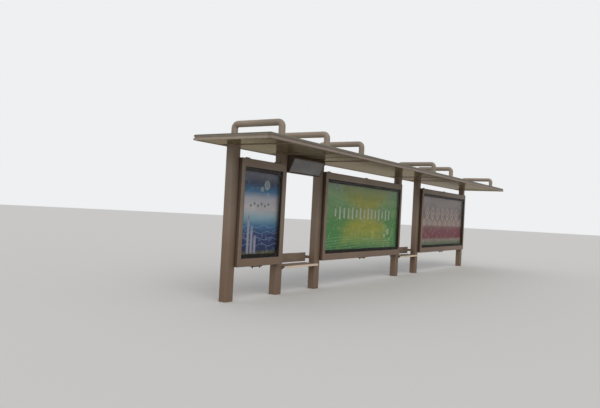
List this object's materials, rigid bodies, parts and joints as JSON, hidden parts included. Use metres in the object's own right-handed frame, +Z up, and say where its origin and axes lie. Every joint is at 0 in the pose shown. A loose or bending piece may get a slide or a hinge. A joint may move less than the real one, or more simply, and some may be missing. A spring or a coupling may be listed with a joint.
{
  "type": "bus shelter",
  "caption": "Long open bus shelter: a row of posts under a thin flat roof with tube hoops above, hinged glazed poster cases, benches and a leaning display between the posts.",
  "frame": {"origin": "middle of the first post's foot, on the ground", "axes": "+X along the shelter from the first post to the last, -Y towards the road, +Z up"},
  "size_m": [13.77, 1.578, 3.063],
  "materials": {
    "frame_paint": "satin warm grey-brown powder coat",
    "fascia_paint": "satin warm grey-brown powder coat",
    "soffit_paint": "smooth cream paint with a soft shine",
    "roof_sheet": "weathered grey-green paint",
    "case_paint": "dark bronze paint",
    "poster_print": "backlit printed sheet",
    "door_glass": "clear toughened glass",
    "seat_paint": "satin paint, polished by use",
    "sign_housing": "dark satin paint",
    "sign_screen": "unlit dot display behind a dull cover"
  },
  "bodies": {
    "shelter": {"post_1": "frame_paint", "post_2": "frame_paint", "post_3": "frame_paint", "post_4": "frame_paint", "post_5": "frame_paint", "post_6": "frame_paint", "roof_rib_1": "frame_paint", "roof_rib_2": "frame_paint", "roof_rib_3": "frame_paint", "roof_rib_4": "frame_paint", "roof_rib_5": "frame_paint", "roof_rib_6": "frame_paint", "hoop_1": "frame_paint", "hoop_2": "frame_paint", "hoop_3": "frame_paint", "hoop_4": "frame_paint", "hoop_5": "frame_paint", "hoop_6": "frame_paint", "front_fascia": "fascia_paint", "rear_fascia": "fascia_paint", "near_fascia": "fascia_paint", "far_fascia": "fascia_paint", "soffit_panels": "soffit_paint", "roof_covering": "roof_sheet", "case_1": "case_paint", "poster_1": "poster_print", "case_2": "case_paint", "poster_2": "poster_print", "case_3": "case_paint", "poster_3": "poster_print", "seat_1": "seat_paint", "backrest_1": "seat_paint", "bench_brackets_1": "frame_paint", "seat_2": "seat_paint", "backrest_2": "seat_paint", "bench_brackets_2": "frame_paint", "sign_housing": "sign_housing", "sign_screen": "sign_screen"},
    "case_door_1": {"door_frame_1": "frame_paint", "door_glass_1": "door_glass"},
    "case_door_2": {"door_frame_2": "frame_paint", "door_glass_2": "door_glass"},
    "case_door_3": {"door_frame_3": "frame_paint", "door_glass_3": "door_glass"}
  },
  "joints": [
    {"name": "case_door_1_hinge", "type": "hinge", "parent": "shelter", "child": "case_door_1", "pos_m": [0.715, -0.0935, 2.463], "axis": [-1, 0, 0], "range_deg": [0, 80]},
    {"name": "case_door_2_hinge", "type": "hinge", "parent": "shelter", "child": "case_door_2", "pos_m": [4.88, -0.0935, 2.463], "axis": [-1, 0, 0], "range_deg": [0, 80]},
    {"name": "case_door_3_hinge", "type": "hinge", "parent": "shelter", "child": "case_door_3", "pos_m": [10.4, -0.0935, 2.463], "axis": [-1, 0, 0], "range_deg": [0, 80]}
  ]
}
